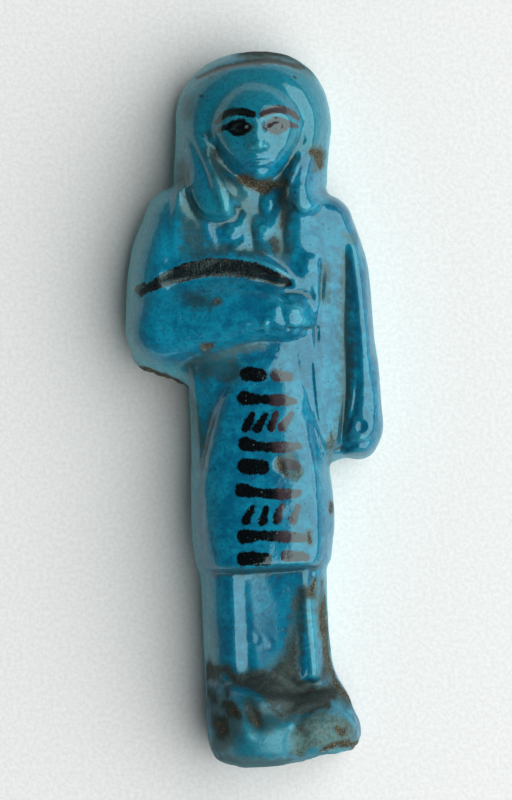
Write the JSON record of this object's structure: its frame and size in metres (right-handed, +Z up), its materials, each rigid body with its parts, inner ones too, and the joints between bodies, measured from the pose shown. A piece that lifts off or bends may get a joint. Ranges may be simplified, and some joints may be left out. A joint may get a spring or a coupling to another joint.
{
  "type": "ushabti figurine",
  "caption": "Small glazed faience funerary figure in a wig and an aproned kilt, one arm bent and one hanging, lying on its flat back.",
  "frame": {"origin": "on the resting surface, under the middle of the figure's length and width", "axes": "+Z up out of the face, +Y from the soles to the crown, +X towards the hanging arm"},
  "size_m": [0.0392, 0.11, 0.0211],
  "materials": {
    "faience": "glossy turquoise glaze, black painted strokes, worn brown where the glaze has gone"
  },
  "bodies": {
    "root": {"figurine": "faience"}
  },
  "joints": []
}
